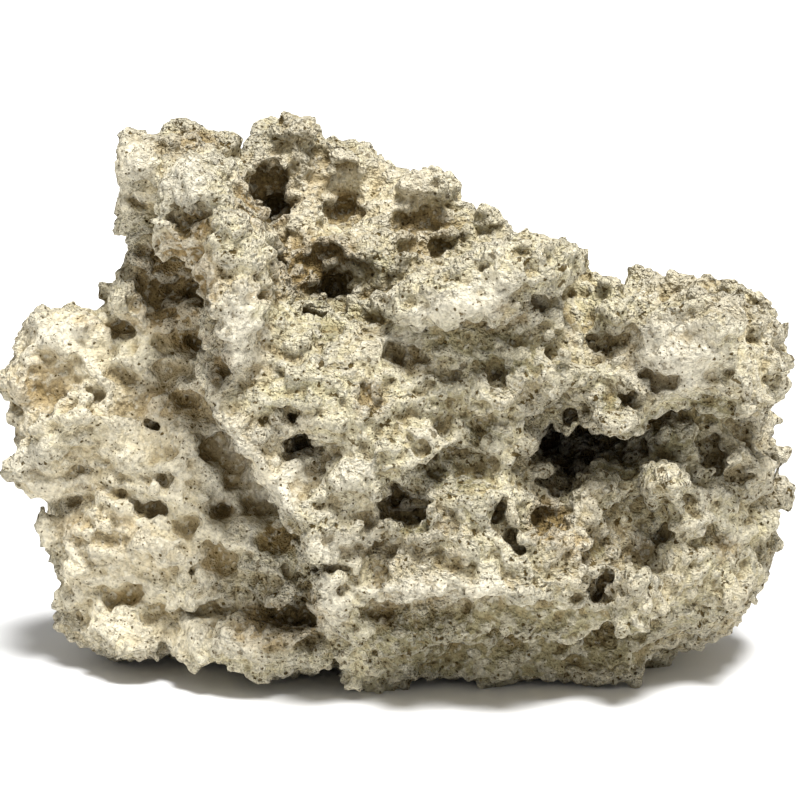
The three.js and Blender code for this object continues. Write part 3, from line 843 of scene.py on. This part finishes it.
crumbsGroup = makeGroup(
    "crumbs", [("Vector", "Vector", None), ("Fineness", "Float", 500.0), ("Floor", "Float", 0.4)],
    [("Height", "Float"), ("Low", "Float")], crumbs,
)
poresGroup = makeGroup(
    "pores", [("Vector", "Vector", None), ("Fineness", "Float", 400.0), ("Share", "Float", 0.35)],
    [("Hole", "Float")], poreHoles,
)

stone = {
    "cream": (0.80, 0.72, 0.475, 1),
    "beige": (0.63, 0.54, 0.35, 1),
    "shell": (0.76, 0.67, 0.48, 1),
    "chalky": (0.74, 0.685, 0.54, 1),
    "ochre": (0.56, 0.43, 0.235, 1),
    # umber and olive partly stand for painted shade, in the hollows and under the overhangs
    "umberShade": (0.34, 0.23, 0.09, 1),
    "lemon": (0.76, 0.69, 0.43, 1),
    "oliveShade": (0.36, 0.32, 0.17, 1),
    # lighter colour for the crumb tops: wear and painted highlight
    "worn": (0.90, 0.85, 0.69, 1),
    # tan, crevice and the dark brown after them colour painted shade in the hollows, gaps and pores, partly
    # dirt
    "tan": (0.34, 0.245, 0.10, 1),
    "creviceShade": (0.15, 0.105, 0.038, 1),
    "shadeAndDirt": (0.11, 0.07, 0.016, 1),
}
finish = {
    "patch": (34, 3, 0.5),  # spacing in mm, detail and roughness of each mottling
    "area": (20, 2, 0.5),
    "mottle": (14, 4, 0.6),
    "fleck": (3.2, 3, 0.6),
    "speck": (1.3, 1, 0.5),
    "coarse": {"Fineness": 380.0, "Floor": 0.44},
    "fine": {"Fineness": 850.0, "Floor": 0.46},
    "pores": {"Fineness": 420.0, "Share": 0.35},
    "pinholes": {"Fineness": 900.0, "Share": 0.35},
    "relief": (3.0, 1.1, -0.8),  # of the coarse crumbs, the fine ones and the pores, in mm
    "roughness": 0.95,
    "shine": 0.15,
}
limestone = bpy.data.materials.new("limestone")
limestone.use_nodes = True
shading = Tree(limestone.node_tree)
shader = shading.nodes["Principled BSDF"]
place = shading.add("ShaderNodeTexCoord").outputs["Object"]


def attribute(name):
    return shading.add("ShaderNodeAttribute", attribute_name=name).outputs["Fac"]


def mottling(name):
    return shading.noise(place, *finish[name]).outputs["Fac"]


def placed(kind, name):
    return shading.add("ShaderNodeGroup", {"Vector": place, **finish[name]}, node_tree=kind).outputs


def mix(amount, a, b, blend="MIX"):
    inputs = {0: amount, 6: a, 7: b}
    return shading.add("ShaderNodeMix", inputs, data_type="RGBA", blend_type=blend).outputs[2]


near, far, shut = attribute("near"), attribute("far"), attribute("shut")
mottle = mottling("mottle")
colour = mix(shading.ramp(mottling("patch"), 0.4, 0.62), stone["cream"], stone["beige"])
colour = mix(shading.ramp(mottle, 0.45, 0.7, 0, 0.6), colour, stone["chalky"])
colour = mix(shading.ramp(attribute("soft"), 0.1, 0.8, 0, 0.6), colour, stone["shell"])
# the patches; olive and umber are partly painted shade
for name in ("chalky", "ochre", "lemon", "oliveShade", "umberShade"):
    unevenness = shading.maths("MULTIPLY", shading.maths("SUBTRACT", mottle, 0.5), 0.9)
    edge = shading.maths("ADD", attribute(name), unevenness)
    colour = mix(shading.ramp(edge, 0.2, 0.8, 0, 0.85), colour, stone[name])

# painted shade in the hollows, tan and dark brown, partly dirt; lighter chalk on the crests, partly painted
# highlight
# painted shade: tan where a point lies deep below the evened-out surface round it
colour = mix(shading.ramp(far, -0.4, 2.0, 0, 0.6), colour, stone["tan"])
# painted shade: dark brown where other rock shuts out the sky over a point
colour = mix(shading.ramp(shut, 0.6, 0.95, 0, 0.75), colour, stone["shadeAndDirt"])
# painted shade: tan in the small hollows between the crumbs
colour = mix(shading.ramp(near, 0.4, 1.6, 0, 0.45), colour, stone["tan"])
# lighter chalk on the crests, partly painted highlight
colour = mix(shading.ramp(near, -0.1, -0.8, 0.0, 0.5), colour, stone["chalky"])

# crumbs and pores, fainter where the crust is smooth; the gaps between crumbs and the pores are darkened as
# painted shade, and the crumb tops lightened as wear and painted highlight
coarse, fine = placed(crumbsGroup, "coarse"), placed(crumbsGroup, "fine")
pores = shading.maths("MAXIMUM", placed(poresGroup, "pores")["Hole"], placed(poresGroup, "pinholes")["Hole"])
calm = shading.maths("MAXIMUM", attribute("soft"), shading.maths("MULTIPLY", attribute("chalky"), 0.8))
crisp = shading.ramp(calm, 0.1, 0.8, 1.1, 0.45)
crisp = shading.maths("MULTIPLY", crisp, shading.ramp(mottling("area"), 0.36, 0.62, 0.65, 1.15))
# crumb tops lighter: wear and painted highlight
colour = mix(shading.ramp(coarse["Height"], 0.75, 1.05, 0, 0.5), colour, stone["worn"])
# painted shade in the low places between the fine and the coarse crumbs
fineGapShade = shading.maths("MULTIPLY", fine["Low"], shading.maths("MULTIPLY", crisp, 0.55))
coarseGapShade = shading.maths("MULTIPLY", coarse["Low"], shading.maths("MULTIPLY", crisp, 0.9))
colour = mix(fineGapShade, colour, stone["tan"])
colour = mix(coarseGapShade, colour, stone["creviceShade"])
# painted shade in the pores, dark brown
colour = mix(shading.maths("MULTIPLY", pores, 0.95), colour, stone["shadeAndDirt"])
colour = mix(0.6, colour, shading.ramp(mottling("fleck"), 0.3, 0.7, 0.6, 1.0, False), "MULTIPLY")
colour = mix(1.0, colour, shading.ramp(mottling("speck"), 0.3, 0.62, 0.72, 1.06, False), "MULTIPLY")
shading.links.new(colour, shader.inputs["Base Color"])
shader.inputs["Roughness"].default_value = finish["roughness"]
shader.inputs["Specular IOR Level"].default_value = finish["shine"]
ofCoarse, ofFine, ofPores = finish["relief"]
height = shading.maths("MULTIPLY", coarse["Height"], ofCoarse)
height = shading.maths("MULTIPLY_ADD", fine["Height"], ofFine, height)
height = shading.maths("MULTIPLY_ADD", pores, ofPores, height)
height = shading.maths("MULTIPLY", height, crisp)
bump = shading.add("ShaderNodeBump", {"Height": height, "Strength": 1.0, "Distance": 1.0 * mm})
shading.links.new(bump.outputs[0], shader.inputs["Normal"])
body.data.materials.clear()
body.data.materials.append(limestone)
print("limestone made")

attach(body, "root")
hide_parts("rock")

# floor, light and camera
studio = {
    "floorSize": 120,
    "paper": (0.9, 0.9, 0.9, 1),
    "sky": 0.35,
    "sun": 5.75,
    "sunWidth": math.radians(20),
    "sunFrom": Vector((0.16, -0.42, 1.2)),
}
deselect()
bpy.ops.mesh.primitive_plane_add(size=studio["floorSize"])
floor = bpy.context.object
floor.name = "floor"
paper = bpy.data.materials.new("paper")
paper.use_nodes = True
paper.node_tree.nodes["Principled BSDF"].inputs["Base Color"].default_value = studio["paper"]
paper.node_tree.nodes["Principled BSDF"].inputs["Roughness"].default_value = 1.0
floor.data.materials.append(paper)

world = bpy.data.worlds.new("studio")
bpy.context.scene.world = world
world.use_nodes = True
world.node_tree.nodes["Background"].inputs["Color"].default_value = (1, 1, 1, 1)
world.node_tree.nodes["Background"].inputs["Strength"].default_value = studio["sky"]
deselect()
bpy.ops.object.light_add(type="SUN", location=(0.4, -0.5, 1.5))
key = bpy.context.object
key.name = "key"
key.data.energy = studio["sun"]
key.data.angle = studio["sunWidth"]
key.rotation_euler = (-studio["sunFrom"]).to_track_quat("-Z", "Y").to_euler()
bpy.context.scene.view_settings.view_transform = "Standard"

camera = bpy.data.objects.new("camera", bpy.data.cameras.new("camera"))
bpy.context.scene.collection.objects.link(camera)
camera.location = eye
camera.rotation_euler = towards.to_track_quat("-Z", "Y").to_euler()
camera.data.lens = viewpoint["lens"]
camera.data.clip_start = 0.01
bpy.context.scene.camera = camera
